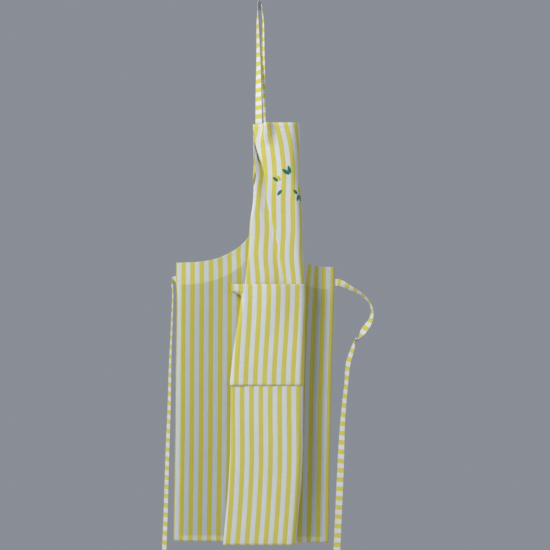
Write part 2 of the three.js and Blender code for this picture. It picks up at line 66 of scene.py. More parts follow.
# ---- sizes, millimetres ----
CLOTH, LAYER = 0.8, 1.1  # the solid's thickness, and the room one layer takes
CLOTH_SEEN = 0.6  # thickness that shows
LAYERS_APART = CLOTH_SEEN + 0.15  # from the middle of one sewn layer to the next
APRON_HALF, BIB_HALF = 350.0, 145.0
APRON_LENGTH, SIDE_LENGTH = 900.0, 595.0
HEM_DROP = 1156.3
HEM, SIDE_HEM = 11.0, 12.0
FACING, FACING_TOP = 48.0, 9.0
POCKET_HALF, POCKET_BOTTOM, POCKET_TOP, POCKET_HEM = 165.0, 340.0, 556.0, 28.0
POCKET_GAPE, POCKET_EASE = 7.5, 1.2
STRAP, TAPE, TAPE_AIR = 15.0, 1.2, 1.0
STRAP_SEWN = 30.0
STRAP_U = {-1: -107.0, 1: 120.0}  # where the strap's left and right ends are sewn
TIE_LENGTH, TIE_SEWN, TIE_BELOW = 800.0, 14.0, 37.0
PEG_D, FIT, STRAP_AT = 6.4, 0.3, 28.0
SIDE_PEG_X, SIDE_PEG_DROP = 208.2, 721.2
STRIPE = 20.0  # one yellow and one white stripe

# ---- how the cloth is folded: [height above the hem, value] ----
LEFT_FOLD_U = [
    (0, -166), (340, -160), (560, -163), (615, -154), (680, -153), (719, -147), (760, -149),
    (790, -156), (830, -154), (900, -150),
]
LEFT_FOLD_X = [
    (0, -78.4), (87, -75.4), (202, -70), (309, -64.3), (407, -54.4), (479, -43.6), (560, -31.4),
    (615, -25.8), (692, -20.3), (730, -14), (790, -14.2), (849, -15.6), (900, -17),
]
RIGHT_ROLL_U = [
    (0, -2.4), (170, 1), (340, 4), (560, -3), (615, -1), (670, -4.6), (735, -5), (790, -10),
    (850, -2), (900, 11),
]
RIGHT_ROLL_X = [
    (0, 76), (80, 83.9), (170, 90.3), (340, 93.5), (555, 95.6), (610, 92.8), (740, 88.2),
    (785, 84.2), (900, 85),
]
LEFT_HEM_X = [(0, -185.5), (200, -182.3), (400, -181), (575, -179.8), (900, -180)]
RIGHT_HEM_X = [(0, 148), (117, 150), (256, 152.4), (350, 154.2), (460, 157.4), (600, 160.5), (900, 150)]
ROLL_FRONT = [(0, 12), (560, 12), (720, 16), (900, 24)]
TUCK_U = [
    (0, -60), (560, -60), (615, -65), (670, -79), (719, -92), (790, -104), (840, -115), (900, -128),
]
COLUMN_Y = [(0, -30), (340, -34), (560, -36), (720, -38), (900, -52)]
RIPPLE = [(0, 0.25), (340, 0.35), (520, 0.6), (600, 0.9), (900, 0.9)]
ROLL_BACK, FOLD_1, FOLD_2, FOLD_3 = 11.0, 4.5, 3.5, 5.0
TUCK_TURN = 3.0  # how far the cloth turns over in the flat tuck, radians
TUCK_FIXED = 740.0  # above this height the bib's soft waves take up cloth too
BIB_EDGE = -100.0  # left of this the bib runs back towards the wall
BIB_LEAN, WAVE_LEAN = 0.5, 0.3
BIB_WAVE = 7.6  # length of a soft wave, divided by 2 pi
FLAP_DRIFT, BACK_DRIFT = 0.17, 0.05
COLUMN_WIDE = 130.0  # cloth from the column's roll to where the right flap is single


# ---- small tools ----
def along(stations, p):
    """Smooth curve through the stations, held beyond their ends."""
    x, y = np.array(stations, float).T
    n = len(x)
    p = np.clip(np.asarray(p, float), x[0], x[-1])
    slope = np.diff(y) / np.diff(x)
    i = np.clip(np.searchsorted(x, p, side="left") - 1, 0, n - 2)
    here = slope[i]

    def tangent(j):
        inner = (j > 0) & (j < n - 1)
        k = np.clip(j, 1, n - 2)
        return np.where(inner, (slope[k - 1] + slope[k]) / 2, here)

    width = x[i + 1] - x[i]
    t = (p - x[i]) / width
    a, b = y[i], y[i + 1]
    ta, tb = tangent(i) * width, tangent(i + 1) * width
    return a + t * (ta + t * (3 * (b - a) - 2 * ta - tb + t * (2 * (a - b) + ta + tb)))


def smooth(a, b, p):
    t = np.clip((p - a) / (b - a), 0, 1)
    return t * t * (3 - 2 * t)


def bump(p, centre, half):
    return np.where(np.abs(p - centre) < half, np.cos((p - centre) / half * Q) ** 2, 0)


def solve(low, high, f, like, turns=24):
    """For each row, where f turns from true to false."""
    a, b = np.full_like(like, low), np.full_like(like, high)
    for _ in range(turns):
        m = (a + b) / 2
        yes = f(m)
        a, b = np.where(yes, m, a), np.where(yes, b, m)
    return (a + b) / 2


def swing(s, start, length, a, b):
    return a + (b - a) * np.clip((s - start) / length, 0, 1)


# ---- the folded sheet: each row of the cloth is a walk by heading ----
STEP = 0.5
U0, U1, DU = -352.0, 352.0, 1.0
DV = 2.5
MID_FRONT, MID_ROW = (np.arange(300) + 0.5) / 300, (np.arange(700) + 0.5) / 700


class Fold:
    """Where the cloth is: tables of x, y and heading over (height, distance across)."""

    def __init__(self, low, high, tucked, base=None):
        v = np.arange(low, high + DV, DV)
        self.v0, self.v = low, v
        col = v[:, None]
        uL, xL = along(LEFT_FOLD_U, col), along(LEFT_FOLD_X, col)
        uR, xR = along(RIGHT_ROLL_U, col), along(RIGHT_ROLL_X, col)
        roll, tuck = along(ROLL_FRONT, col), along(TUCK_U, col)
        s1 = Q * roll
        wanted = xR - roll - (xL + FOLD_1)
        lean = smooth(700, 870, col)
        fade = 1 - 0.35 * smooth(850, 900, col)
        half = np.clip((tuck - uL - 12) / 2, 14, 27)

        def front(s, groove, rise, wave):
            u = uR - s
            turn = TUCK_TURN * smooth(1.5, 5, groove) * (1 - 0.25 * smooth(800, 860, col))
            pleat = turn * smooth(groove, groove - 3, np.abs(u - tuck))
            pleat = pleat - rise * bump(u, tuck - 10 - half, half)
            edge = smooth(BIB_EDGE, BIB_EDGE - 12, u)
            waves = WAVE_LEAN * lean + wave * np.sin((u + 55) / BIB_WAVE)
            soft = smooth(-50, -60, u) * (1 - edge) * waves
            return -2 * Q - pleat - soft - edge * BIB_LEAN * lean

        zero = np.zeros_like(col)
        if tucked:
            s2 = uR - uL - Q * FOLD_1

            def end(groove, rise, wave):
                h = front(s1 + (s2 - s1) * MID_FRONT, groove, rise, wave)
                d = (s2 - s1) / len(MID_FRONT)
                return np.cos(h).sum(1, keepdims=True) * d, np.sin(h).sum(1, keepdims=True) * d

            def balance(groove):
                return solve(0, 2, lambda k: end(groove, k, zero)[1] > 0, col, 16)

            groove = solve(0, 13, lambda k: -end(k, balance(k), zero)[0] > wanted, col, 16) * fade
            rise = balance(groove)
            waved = solve(0, 1.5, lambda k: -end(groove, rise, k)[0] > wanted, col)
            wave = np.where(col > TUCK_FIXED, waved, 0)
            self.cover = -end(groove, rise, wave)[0]
            turned = zero + 1
        else:
            groove = rise = wave = zero
            s2 = s1 + np.interp(col, base.v, base.cover[:, 0])
            turned = 1 - smooth(526, 541, col)
        s3 = s2 + 2 * Q * FOLD_1

        def left(back):
            s4 = s3 + back
            s5 = s4 + 2 * Q * FOLD_2

            def heading(s):
                out = -2 * Q - FLAP_DRIFT * smooth(0, 30, s - s5) * (1 + np.cos((s - s5) / 24)) * 0.75
                out = np.where(s < s5, swing(s, s4, s5 - s4, -4 * Q, -2 * Q), out)
                out = np.where(s < s4, -(2 + 2 * turned) * Q + 0 * s, out)
                out = np.where(s < s3, swing(s, s2, s3 - s2, -2 * Q, -(2 + 2 * turned) * Q), out)
                out = np.where(s < s2, front(s, groove, rise, wave), out)
                return np.where(s < s1, swing(s, 0, s1, -Q, -2 * Q), out)

            return heading

        t1 = Q * ROLL_BACK
        gather = smooth(600, 800, col)
        ripple = along(RIPPLE, col)

        def right(run):
            t2 = t1 + run
            t3 = t2 + 2 * Q * FOLD_3

            def heading(s):
                u = uR + s
                out = ripple * (bump(u, 296, 22) - bump(u, 318, 22)) + 0.02 * smooth(0, 60, s - t3)
                out = out + 0.3 * ripple * np.sin((u - 250) / 11) * bump(u, 250, 45)
                out = np.where(s < t3, swing(s, t2, t3 - t2, 2 * Q, 0), out)
                wavy = 1.25 * gather * smooth(108, 100, u) * np.sin((s - t1) / 6.1)
                out = np.where(s < t2, 2 * Q + wavy - BACK_DRIFT - 0.3 * gather, out)
                return np.where(s < t1, swing(s, 0, t1, Q, 2 * Q), out)

            return heading

        def span(heading, total):
            return np.cos(heading(total * MID_ROW)).sum(1, keepdims=True) * total / len(MID_ROW)

        hemL, hemR = along(LEFT_HEM_X, col), along(RIGHT_HEM_X, col)
        back = solve(1, 60, lambda k: xR + span(left(k), APRON_HALF + uR) < hemL, col)
        run = solve(40, 200, lambda k: xR + span(right(k), APRON_HALF - uR) > hemR, col)
        if tucked:
            at = int(round((SIDE_LENGTH - low) / DV))
            back = np.where(col > SIDE_LENGTH, back[at], back)
            run = np.where(col > SIDE_LENGTH, run[at], run)
            # Above the waist the right flap's fold stays hidden behind the column.
            hidden = (xR - ROLL_BACK - FOLD_3 - xL - 6) / np.cos(BACK_DRIFT + 0.3 * gather)
            run = run - smooth(604, 640, col) * np.maximum(0, run - hidden)
        y0 = along(COLUMN_Y, col)
        u = np.arange(U0, U1 + DU, DU)
        s = np.arange(0, U1 + 30, STEP)[None, :]
        self.x, self.y, self.h = (np.empty((len(v), len(u))) for _ in range(3))
        for side, heading, turn in ((-1, left(back), 2 * Q), (1, right(run), 0)):
            h = heading(s + 0 * col)
            m = heading(s + STEP / 2 + 0 * col)
            x = xR + np.concatenate([zero, np.cumsum(np.cos(m), 1)[:, :-1] * STEP], 1)
            y = y0 + np.concatenate([zero, np.cumsum(np.sin(m), 1)[:, :-1] * STEP], 1)
            for k in range(len(v)):
                chosen = (u - uR[k] < 0) if side < 0 else (u - uR[k] >= 0)
                away = np.abs(u[chosen] - uR[k])
                self.x[k, chosen] = np.interp(away, s[0], x[k])
                self.y[k, chosen] = np.interp(away, s[0], y[k])
                self.h[k, chosen] = np.interp(away, s[0], h[k]) + turn

    def place(self, u, v, n):
        """(x, y, z) in millimetres of points n in front of the cloth's middle."""
        u, v, n = np.broadcast_arrays(*(np.asarray(a, float) for a in (u, v, n)))
        n = n + wrinkle(u, v)
        a = np.clip((u - U0) / DU, 0, self.x.shape[1] - 1.001)
        b = np.clip((v - self.v0) / DV, 0, self.x.shape[0] - 1.001)
        i, j = a.astype(int), b.astype(int)
        f, g = a - i, b - j

        def at(t):
            low = t[j, i] * (1 - f) + t[j, i + 1] * f
            return low * (1 - g) + (t[j + 1, i] * (1 - f) + t[j + 1, i + 1] * f) * g

        h = at(self.h)
        x, y = at(self.x) + np.sin(h) * n, at(self.y) - np.cos(h) * n
        return np.stack([x, y, v - HEM_DROP + sag(u, v)], -1)


def sag(u, v):
    """How far the flaps hang above, and the bib's top below, their flat height."""
    lift = (3.5 + 3.5 * smooth(300, 560, v)) * smooth(-185, -240, u) - 2.5 * smooth(185, 240, u)
    lift = lift + 8 * smooth(320, 225, u) * smooth(185, 200, u) * smooth(430, 590, v)
    return lift - smooth(840, 900, v) * (3.2 + 3 * smooth(-60, -130, u))


def wrinkle(u, v):
    """Small unevenness of hanging cotton, millimetres; every layer shares it."""
    free = smooth(10, 40, APRON_HALF - np.abs(u))
    soft = 0.5 * np.sin(u / 31 + v / 170) * np.sin(v / 83 + 0.6 * np.sin(u / 47))
    fine = 0.22 * np.sin(v / 19 + 2.1 * np.sin(u / 23)) * np.sin(u / 13 + v / 61)
    return (soft + fine) * (0.4 + 0.6 * free)


cloth = Fold(0, 900, True)
flat_pocket = Fold(340, 560, False, cloth)


# ---- meshes ----
def make(name, points, faces, uv=None):
    mesh = bpy.data.meshes.new(name)
    mesh.from_pydata((np.asarray(points) * MM).tolist(), [], faces)
    mesh.update()
    mesh.polygons.foreach_set("use_smooth", [True] * len(mesh.polygons))
    if uv is not None:
        corners = np.empty(len(mesh.loops), int)
        mesh.loops.foreach_get("vertex_index", corners)
        layer = mesh.uv_layers.new(name="cloth")
        layer.data.foreach_set("uv", (np.asarray(uv) * MM)[corners].astype(np.float32).ravel())
    obj = bpy.data.objects.new(name, mesh)
    bpy.context.scene.collection.objects.link(obj)
    return obj


def grid_faces(rows, cols):
    k = np.arange(rows * cols).reshape(rows, cols)
    return np.stack([k[:-1, :-1], k[:-1, 1:], k[1:, 1:], k[1:, :-1]], -1).reshape(-1, 4).tolist()


def point_value(obj, name, values):
    attribute = obj.data.attributes.new(name, "FLOAT", "POINT")
    attribute.data.foreach_set("value", np.asarray(values, np.float32).ravel())


def thicken(obj, thickness):
    solid = obj.modifiers.new("thickness", "SOLIDIFY")
    solid.thickness = thickness * MM
    solid.offset = 0
    return obj


def finish_piece(obj, body, *nodes):
    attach(obj, body)
    if nodes:
        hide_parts(*nodes)
    return obj


# ---- outline of the cut cloth ----
def bezier(p, count=600):
    t = np.linspace(0, 1, count)[:, None]
    a, b, c, d = (np.array(q, float) for q in p)
    return (1 - t) ** 3 * a + 3 * (1 - t) ** 2 * t * b + 3 * (1 - t) * t ** 2 * c + t ** 3 * d


armhole = bezier([
    (APRON_HALF, SIDE_LENGTH), (235, SIDE_LENGTH + 1), (BIB_HALF + 12, SIDE_LENGTH + 6),
    (BIB_HALF, APRON_LENGTH),
])
BIB_LINE = BIB_HALF - FACING_TOP
SIDE_LINE = APRON_HALF - SIDE_HEM
facing_edge = bezier([
    (APRON_HALF, SIDE_LENGTH - FACING), (222, SIDE_LENGTH - FACING + 4),
    (BIB_HALF + 1, SIDE_LENGTH - FACING + 30), (BIB_LINE, APRON_LENGTH - HEM),
])


def height_on(curve, u):
    return np.interp(np.abs(u), curve[::-1, 0], curve[::-1, 1])


def top_of(u):
    return np.where(np.abs(u) <= BIB_HALF, APRON_LENGTH, height_on(armhole, u))


def facing_low(u):
    return np.where(np.abs(u) < BIB_LINE, APRON_LENGTH - HEM, height_on(facing_edge, u))


def steps(*parts):
    """Places along a line: (from, to, step) for each part, joined."""
    out = []
    for a, b, step in parts:
        out += list(np.linspace(a, b, max(1, round(abs(b - a) / step)) + 1)[:-1])
    return np.array(out + [parts[-1][1]])


COLUMNS = steps(
    (-APRON_HALF, -SIDE_LINE, 4), (-SIDE_LINE, -200, 4), (-200, -BIB_HALF, 2), (-BIB_HALF, -BIB_LINE, 2),
    (-BIB_LINE, -50, 1), (-50, 30, 2.5), (30, BIB_LINE, 4), (BIB_LINE, BIB_HALF, 2),
    (BIB_HALF, 200, 2), (200, SIDE_LINE, 3), (SIDE_LINE, APRON_HALF, 4),
)
START = 484.0


def panel_grid(low_rows=97, high_rows=66):
    u = COLUMNS[None, :]
    low = np.linspace(0, START, low_rows)[:-1, None] + 0 * u
    t = np.linspace(0, 1, high_rows)[:, None]
    return np.vstack([u + 0 * low, u + 0 * t]), np.vstack([low, START + (top_of(u) - START) * t])


def sheet_piece(name, u, v, n, fold, phase=0.0, thickness=CLOTH_SEEN, ply=1.0):
    """A layer of cloth on a grid of places (u, v), n in front of the panel's middle."""
    obj = make(name, fold.place(u, v, n).reshape(-1, 3), grid_faces(*u.shape),
               np.stack([u - phase, v], -1).reshape(-1, 2))
    point_value(obj, "ply", np.broadcast_to(ply, u.shape))
    return thicken(obj, thickness)


# Mask for the painted show-through shade: the cotton is darkened and cooled where this is below 1.
def double(u, v):
    """1 where two or more layers lie on each other, 0 on a single layer in the open."""
    left, right = along(LEFT_FOLD_U, v), along(RIGHT_ROLL_U, v)
    column = smooth(left - 6, left, u) * smooth(COLUMN_WIDE, COLUMN_WIDE - 12, u - right)
    faced = smooth(-1.5, 0.5, v - facing_low(u))
    hems = np.maximum(smooth(SIDE_LINE - 1, SIDE_LINE + 0.5, np.abs(u)), smooth(HEM + 1, HEM, v))
    return np.maximum(column, 0.5 * np.maximum(faced, hems))


U, V = panel_grid()
panel = sheet_piece("apron_cloth", U, V, 0, cloth, ply=double(U, V))
finish_piece(panel, "apron", "apron_panel")


def strip(name, u, low, high, count, node, phase=0.0):
    """A strip of cloth behind the panel, between two heights that may change along it."""
    t = np.linspace(0, 1, count)[:, None]
    uu = u[None, :] + 0 * t
    vv = low + (high - low) * t + 0 * uu
    return finish_piece(sheet_piece(name, uu, vv, BEHIND, cloth, phase), "apron", node)


def between(a, b):
    return np.unique(np.concatenate([[a], COLUMNS[(COLUMNS > a + 0.6) & (COLUMNS < b - 0.6)], [b]]))


CUT_BACK, CORNER_GAP = 0.6, 1.0
BEHIND = -LAYERS_APART
facings = []
for side, name in ((-1, "left"), (1, "right")):
    lo, hi = sorted((side * APRON_HALF, side * (BIB_LINE + 1)))
    us = between(lo, hi)
    facings.append(strip(name + "_facing", us, facing_low(us), top_of(us) - CUT_BACK, 14,
                         name + "_armhole_facing", phase=3.0))
    lo, hi = sorted((side * APRON_HALF, side * SIDE_LINE))
    us = between(lo, hi)
    facings.append(strip(name + "_hem", us, HEM + CORNER_GAP, facing_low(us) - CORNER_GAP, 110,
                         name + "_side_hem", phase=9.0))
us = between(-BIB_LINE, BIB_LINE)
facings.append(strip("bib_hem", us, APRON_LENGTH - HEM, APRON_LENGTH - CUT_BACK, 4, "bib_top_hem"))
us = between(-APRON_HALF, APRON_HALF)
facings.append(strip("hem_turned_up", us, CUT_BACK, HEM, 4, "bottom_hem"))


# ---- pocket ----
GAPE_AT, GAPE_HALF = -75, 62  # where its mouth stands off


def mouth(u, v):
    return POCKET_GAPE * bump(u, GAPE_AT, GAPE_HALF) * smooth(430, POCKET_TOP - 12, v)


def pocket_off(u, v):
    off = LAYER + LAYER * smooth(START, POCKET_TOP - POCKET_HEM, v) + mouth(u, v)
    return off + POCKET_EASE * smooth(-118, -138, u)


POCKET_PHASE = 7.4
us = between(-POCKET_HALF, POCKET_HALF)
vs = steps((POCKET_BOTTOM, POCKET_TOP, 4))
UP, VP = np.meshgrid(us, vs)
pocket = finish_piece(
    sheet_piece("pocket_cloth", UP, VP, pocket_off(UP, VP), flat_pocket, POCKET_PHASE),
    "apron", "pocket")
vs = steps((POCKET_TOP - POCKET_HEM, POCKET_TOP - CUT_BACK, 4))
UH, VH = np.meshgrid(us, vs)
pocket_hem = finish_piece(
    sheet_piece("pocket_hem", UH, VH, pocket_off(UH, VH) - CLOTH_SEEN - 0.15, flat_pocket, POCKET_PHASE),
    "apron", "pocket_top_hem")


# ---- stitches ----
STITCH, STITCH_GAP, THREAD = 2.6, 1.3, 0.42


def stitched(name, lines):
    """Rows of stitches, each a small rounded bar. lines: (points (u, v), n, fold)."""
    points, faces = [], []
    for path, n, fold in lines:
        path = np.asarray(path, float)
        length = np.concatenate([[0], np.cumsum(np.hypot(*np.diff(path, axis=0).T))])
        starts = np.arange(STITCH_GAP, length[-1] - STITCH, STITCH + STITCH_GAP)
        if not len(starts):
            continue
        rings = []
        for part, size in ((0, 0.35), (0.25, 1), (0.75, 1), (1, 0.35)):
            s = starts + part * STITCH
            uv, ahead = (np.stack([np.interp(t, length, path[:, c]) for c in (0, 1)], -1) for t in (s, s + 0.5))
            way = ahead - uv
            way /= np.maximum(np.hypot(*way.T), 1e-9)[:, None]
            across = np.stack([-way[:, 1], way[:, 0]], -1) * THREAD / 2 * size
            off = n(uv[:, 0], uv[:, 1]) if callable(n) else n
            up = THREAD * 0.55 * size
            sign = 1 if not callable(n) and n < 0 else -1
            centre = fold.place(uv[:, 0], uv[:, 1], off)
            left = fold.place(uv[:, 0] + across[:, 0], uv[:, 1] + across[:, 1], off)
            right = fold.place(uv[:, 0] - across[:, 0], uv[:, 1] - across[:, 1], off)
            top = fold.place(uv[:, 0], uv[:, 1], off - sign * up)
            low = fold.place(uv[:, 0], uv[:, 1], off + sign * up * 0.6)
            rings.append(np.stack([left, top, right, low], 1))
        ring = np.stack(rings, 1)  # stitch, ring, corner, xyz
        base = len(points)
        count = len(starts)
        points += ring.reshape(-1, 3).tolist()
        one = []
        for r in range(3):
            for c in range(4):
                d = (c + 1) % 4
                one.append([4 * r + c, 4 * r + d, 4 * r + 4 + d, 4 * r + 4 + c])
        one += [[3, 2, 1, 0], [12, 13, 14, 15]]
        one = np.array(one)
        faces += (one[None] + base + 16 * np.arange(count)[:, None, None]).reshape(-1, 4).tolist()
    return make(name, points, faces)


def line(us, vs):
    us, vs = np.broadcast_arrays(np.asarray(us, float), np.asarray(vs, float))
    return np.stack([us, vs], -1)


ON_FACE = CLOTH_SEEN / 2 + 0.05


def on_front(u, v):
    return ON_FACE + 0 * u


def on_pocket(u, v):
    return pocket_off(u, v) + ON_FACE


seams = []
BACK = -(ON_FACE + CLOTH_SEEN + 0.15)
for n in (on_front, BACK):
    for side in (-1, 1):
        far = np.linspace(APRON_HALF - 1, BIB_LINE + 1.5, 260)
        seams.append((line(side * far, facing_low(far) + 2), n, cloth))
        edge = np.linspace(APRON_HALF - 1, BIB_HALF + 14, 200)
        seams.append((line(side * edge, top_of(edge) - 7), n, cloth))
        up = np.linspace(612, APRON_LENGTH - 4, 120)
        seams.append((line(side * (np.interp(up, armhole[:, 1], armhole[:, 0]) - 6), up), n, cloth))
        seams.append((line(side * (SIDE_LINE + 1.5), np.linspace(3, SIDE_LENGTH - FACING, 80)), n, cloth))
    across = np.linspace(-APRON_HALF + 3, APRON_HALF - 3, 300)
    seams.append((line(across, HEM - 1.5), n, cloth))
    bib = np.linspace(-BIB_LINE + 2, BIB_LINE - 2, 120)
    seams.append((line(bib, APRON_LENGTH - HEM + 1.5), n, cloth))
apron_stitches = finish_piece(stitched("apron_stitches", seams), "apron")

across = np.linspace(-POCKET_HALF + 2, POCKET_HALF - 2, 200)
up = np.linspace(POCKET_BOTTOM + 3, POCKET_TOP - 2, 90)
seams = [(line(across, POCKET_TOP - POCKET_HEM + 1.5), on_pocket, flat_pocket)]
for inset in (3.0, 6.0):
    seams.append((line(across, POCKET_BOTTOM + inset), on_pocket, flat_pocket))
seams.append((line(POCKET_HALF - 3, up), on_pocket, flat_pocket))
seams.append((line(3 - POCKET_HALF, up), on_pocket, flat_pocket))
pocket_stitches = finish_piece(stitched("pocket_stitches", seams), "apron")


# ---- tapes: neck strap and ties ----
def centripetal(points, per_span):
    """Smooth curve through points, with per_span pieces between each two."""
    p = np.array(points, float)
    p = np.vstack([2 * p[0] - p[1], p, 2 * p[-1] - p[-2]])
    out = []
    for i in range(1, len(p) - 2):
        p0, p1, p2, p3 = p[i - 1:i + 3]
        d = [max(1e-4, np.linalg.norm(b - a) ** 0.5) for a, b in ((p0, p1), (p1, p2), (p2, p3))]
        m1 = ((p1 - p0) / d[0] - (p2 - p0) / (d[0] + d[1]) + (p2 - p1) / d[1]) * d[1]
        m2 = ((p2 - p1) / d[1] - (p3 - p1) / (d[1] + d[2]) + (p3 - p2) / d[2]) * d[1]
        t = (np.arange(per_span) / per_span)[:, None]
        out.append(p1 + t * m1 + t ** 2 * (3 * (p2 - p1) - 2 * m1 - m2) + t ** 3 * (2 * (p1 - p2) + m1 + m2))
    return np.vstack(out + [p[-2][None]])


def tape_frame(stations, per_span=12):
    centre = centripetal([s[0] for s in stations], per_span)
    side = centripetal([s[1] for s in stations], per_span)
    tangent = np.gradient(centre, axis=0)
    tangent /= np.linalg.norm(tangent, axis=1)[:, None]
    side -= tangent * (side * tangent).sum(1)[:, None]
    side /= np.linalg.norm(side, axis=1)[:, None]
    length = np.concatenate([[0], np.cumsum(np.linalg.norm(np.diff(centre, axis=0), axis=1))])
    return centre, side, tangent, length


def ribbon(name, stations, thickness=TAPE * 0.85, per_span=12):
    """A folded, edge-stitched tape: crosswise it is a flat oval, fuller at its sewn edges."""
    centre, side, tangent, length = tape_frame(stations, per_span)
    normal = np.cross(side, tangent)
    w = np.array([-1, -0.93, -0.8, -0.45, 0, 0.45, 0.8, 0.93, 1]) * STRAP / 2
    t = np.array([0.25, 0.42, 0.38, 0.5, 0.5, 0.5, 0.38, 0.42, 0.25]) * thickness
    curl = 0.35 * np.sin(length / 37)[:, None] * (w[None, :] / STRAP * 2) ** 2
    upper = centre[:, None] + side[:, None] * w[None, :, None] + normal[:, None] * (t + curl)[..., None]
    lower = centre[:, None] + side[:, None] * w[None, :, None] + normal[:, None] * (curl - t)[..., None]
    loop = np.concatenate([upper, lower[:, ::-1]], 1)
    rows, around = loop.shape[:2]
    k = np.arange(rows * around).reshape(rows, around)
    nxt = np.roll(k, -1, 1)
    faces = np.stack([k[:-1], nxt[:-1], nxt[1:], k[1:]], -1).reshape(-1, 4).tolist()
    for row, flip in ((k[0], True), (k[-1], False)):
        half = around // 2
        for c in range(half - 1):
            quad = [row[c], row[c + 1], row[around - 2 - c], row[around - 1 - c]]
            faces.append([int(q) for q in (quad[::-1] if flip else quad)])
    across = np.concatenate([w, w[::-1]])
    uv = np.stack([across[None, :] + 0 * length[:, None], length[:, None] + 0 * across[None, :]], -1)
    obj = make(name, loop.reshape(-1, 3), faces, uv.reshape(-1, 2))
    point_value(obj, "ply", np.ones(rows * around))
    face_out(obj.data)
    return obj, length


def face_out(mesh):
    bm = bmesh.new()
    bm.from_mesh(mesh)
    bmesh.ops.recalc_face_normals(bm, faces=bm.faces)
    bm.to_mesh(mesh)
    bm.free()


A = np.array
TAPE_OFF = -(LAYER + CLOTH / 2 + TAPE_AIR + TAPE / 2)
TO_FRONT = A([0, -1, 0])
LOOP_R = PEG_D / 2 + FIT + TAPE / 2
LOOP_DROP = 9


def sewn_at(u, v):
    a, b = cloth.place(u - 5, v, TAPE_OFF), cloth.place(u + 5, v, TAPE_OFF)
    side = (a - b) / np.linalg.norm(a - b)
    return [cloth.place(u, v, TAPE_OFF), side if side @ TO_FRONT > 0 else -side]


def strap_end(side):
    return [sewn_at(STRAP_U[side], APRON_LENGTH - d) for d in (0, STRAP_SEWN / 2, STRAP_SEWN)]


def at_strap(x, z, width):
    return [A([x, -STRAP_AT, z]), A(width)]


strap = strap_end(-1)[::-1]
strap += [at_strap(-3.2, -122, (0.6, -0.8, 0)), at_strap(-4.5, -36.5, (0.28, -0.96, 0))]
strap.append(at_strap(-LOOP_R, -LOOP_DROP, TO_FRONT))
for k in range(7):
    a = math.pi - math.pi * k / 6
    strap.append(at_strap(LOOP_R * math.cos(a), LOOP_R * math.sin(a), TO_FRONT))
strap.append(at_strap(LOOP_R, -LOOP_DROP, TO_FRONT))
strap += [at_strap(6.6, -36.5, (0.28, -0.96, 0)), at_strap(7.3, -122, (0.5, -0.87, 0))]
strap += strap_end(1)
neck_strap, strap_run = ribbon("neck_strap", strap)
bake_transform(neck_strap)
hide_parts("neck_strap_bight", "neck_strap_left", "neck_strap_right")


def tie_stations(side, bends):
    height = SIDE_LENGTH - TIE_BELOW + (4 if side > 0 else 0)
    ends = (APRON_HALF - TIE_SEWN, APRON_HALF - CUT_BACK)
    sewn = [[cloth.place(side * u, height, TAPE_OFF), A([0, 0, 1.0])] for u in ends]
    clear = [sewn[1][0] + A([side * 4, 0, 0]), A([0, 0, 1.0])]
    out = sewn + [clear] + [[A(p, float), A(w, float)] for p, w in bends]
    spare = TIE_LENGTH - tape_frame(out)[3][-1]
    way = out[-1][0] - out[-2][0]
    out[-1][0] = out[-1][0] + way / np.linalg.norm(way) * spare
    return out


def angled(degrees):
    return (math.cos(math.radians(degrees)), -math.sin(math.radians(degrees)), 0)


left_stations = tie_stations(-1, [
    ((-188.5, -13, -599), (0.2, -0.8, 0.5)), ((-187.5, -15, -614), angled(78)),
    ((-190.2, -17, -720), angled(72)), ((-192.6, -16, -780), angled(66)),
    ((-197.5, -15, -944), angled(55)), ((-205, -13, -1157), angled(40)),
])
left_tie, _ = ribbon("left_waist_tie", left_stations)
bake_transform(left_tie)
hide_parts("left_tie", "left_tie_sewn_end")

PEG_TOP = PEG_D / 2 + FIT + TAPE


def over_peg(degrees):
    a = math.radians(degrees)
    x, z = SIDE_PEG_X + PEG_TOP * math.cos(a), -SIDE_PEG_DROP + PEG_TOP * math.sin(a)
    return (x, -STRAP_AT, z), (0, -1, 0)


right_stations = tie_stations(1, [
    ((171.7, -8, -597.5), (-0.1, -0.25, 0.96)), ((197.7, -14, -611), (-0.1, -0.7, 0.7)),
    ((221, -19, -625), (0.2, -0.95, 0.2)), ((236, -22, -642), (0.2, -0.98, 0)),
    ((241, -24, -660), (0.3, -0.95, 0)), ((237, -26, -679), (0.5, -0.8, -0.3)),
    ((225, -27.5, -697), (0.75, -0.5, -0.5)), over_peg(58), over_peg(92), over_peg(126), over_peg(160),
    ((200, -28, -735), (0.45, -0.9, 0)), ((189.5, -25, -770), (0.62, -0.79, 0)),
    ((184.9, -22, -817), (0.5, -0.87, 0)), ((179.1, -18, -882), (0.6, -0.8, 0)),
    ((172.3, -16, -1025), (0.95, -0.3, 0)), ((166.3, -15, -1163), (0.97, -0.2, 0)),
])
right_tie, _ = ribbon("right_waist_tie", right_stations)
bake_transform(right_tie)
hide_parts("right_tie")

# ---- embroidered leaves: [across, height, turn, length, is yellow] ----
LEAVES = [
    (-49, 793.5, 143, 18.5, 0), (-41.5, 798, 101, 17.5, 0), (-71, 778, 143, 15, 0), (-64, 780.5, 123, 14, 1),
    (-61, 750, 52, 15, 0), (-27.5, 751.5, 138, 14, 0), (-19.5, 756, 107, 15, 1), (-21, 739.5, 73, 15, 0),
    (-13.5, 738.5, 102, 15, 0),
]


